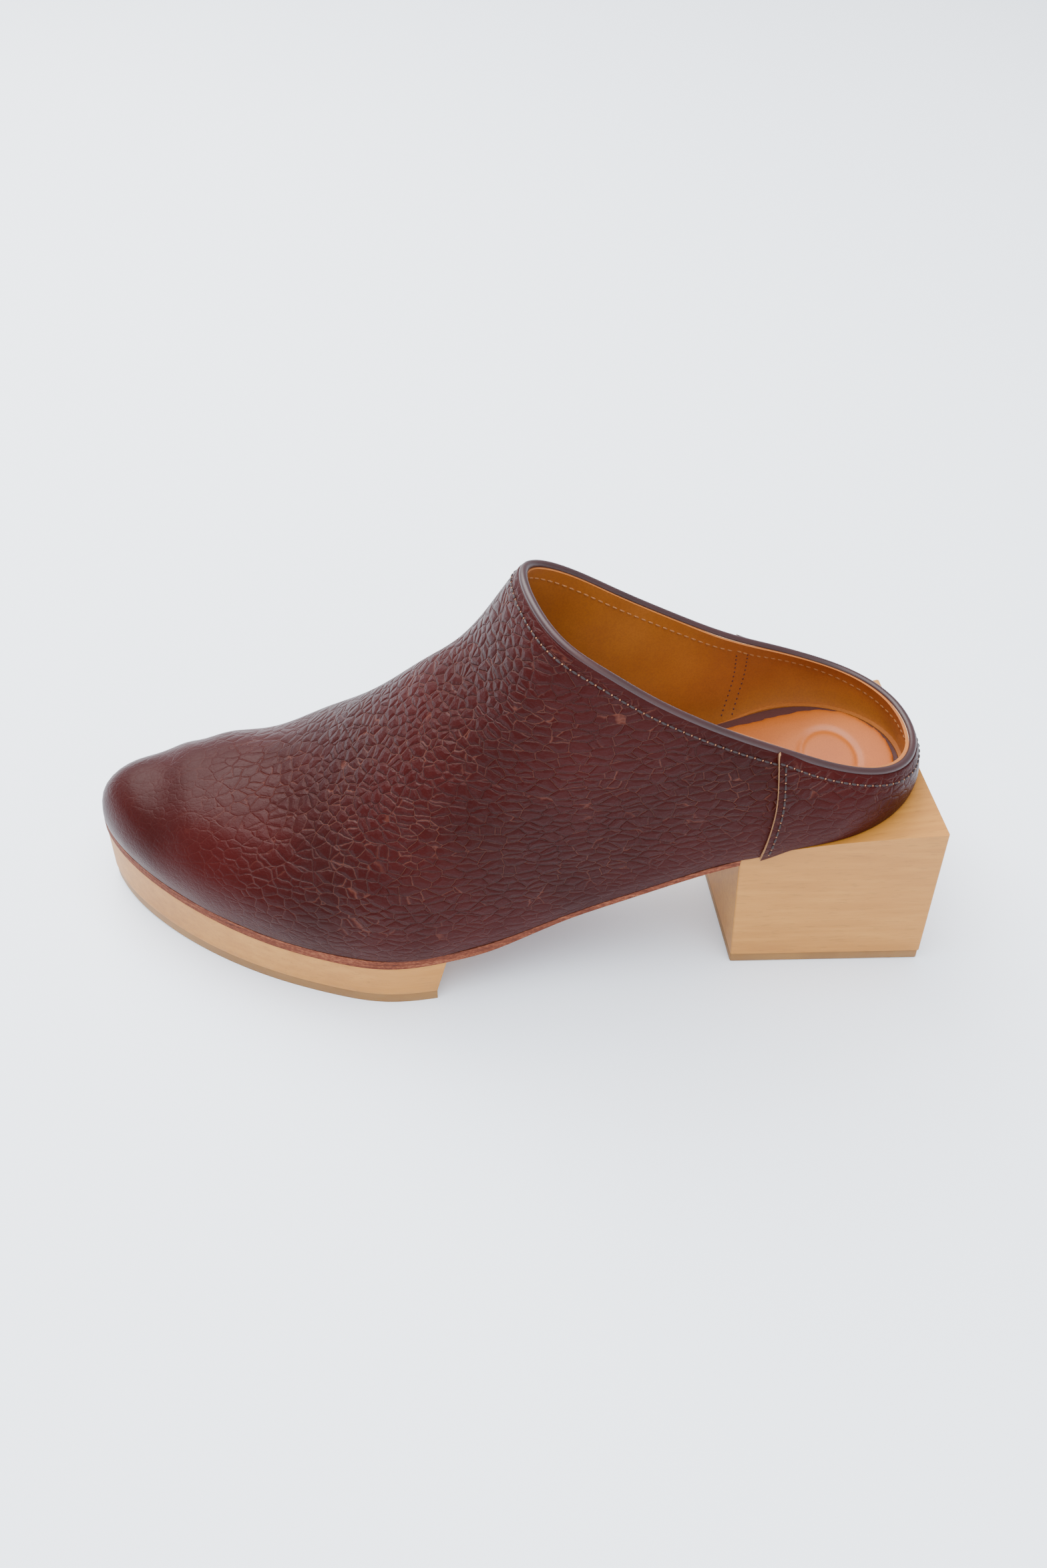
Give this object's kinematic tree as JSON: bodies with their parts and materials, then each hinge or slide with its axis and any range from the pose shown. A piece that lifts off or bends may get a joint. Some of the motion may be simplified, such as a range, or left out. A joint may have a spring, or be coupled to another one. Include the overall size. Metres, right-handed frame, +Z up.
{
  "type": "wooden-soled clog",
  "caption": "Left-foot leather mule clog on a split wooden sole with a block heel and gum rubber treads.",
  "frame": {"origin": "on the ground under the middle of the clog's bounding box", "axes": "+X from heel to toe, +Y to the wearer's left (outer side of this left shoe), +Z up"},
  "size_m": [0.2568, 0.0938, 0.1262],
  "materials": {
    "alder_wood": "pale honey wood, sanded and waxed satin",
    "gum_rubber": "honey gum rubber, matt",
    "midsole_leather": "raw cut edge, reddish brown",
    "fibre_board": "pressed cellulose board",
    "cork": "pressed cork sheet",
    "spring_steel": "plain steel",
    "footbed_leather": "smooth dark brown, matt",
    "sock_leather": "smooth tan, lightly polished",
    "foam": "soft latex foam",
    "upper_leather": "pebbled oxblood brown, satin",
    "lining_leather": "smooth golden tan",
    "stiffener_board": "thermoplastic felt, hidden",
    "interlining_cloth": "thin woven cloth, hidden",
    "thread": "dark brown waxed thread"
  },
  "bodies": {
    "root": {"forefoot_platform": "alder_wood", "heel_block": "alder_wood", "forefoot_outsole": "gum_rubber", "heel_lift": "gum_rubber", "leather_midsole": "midsole_leather", "insole_board": "fibre_board", "bottom_filler": "cork", "shank": "spring_steel", "footbed_cover": "footbed_leather", "heel_sock": "sock_leather", "sock_foam": "foam", "vamp": "upper_leather", "heel_quarter": "upper_leather", "heel_counter": "stiffener_board", "side_interlining": "interlining_cloth", "toe_puff": "stiffener_board", "vamp_lining": "lining_leather", "heel_lining": "lining_leather", "heel_screw": "spring_steel", "heel_nails": "spring_steel", "topline_stitching": "thread", "outer_seam_stitching": "thread", "inner_seam_stitching": "thread"}
  },
  "joints": []
}
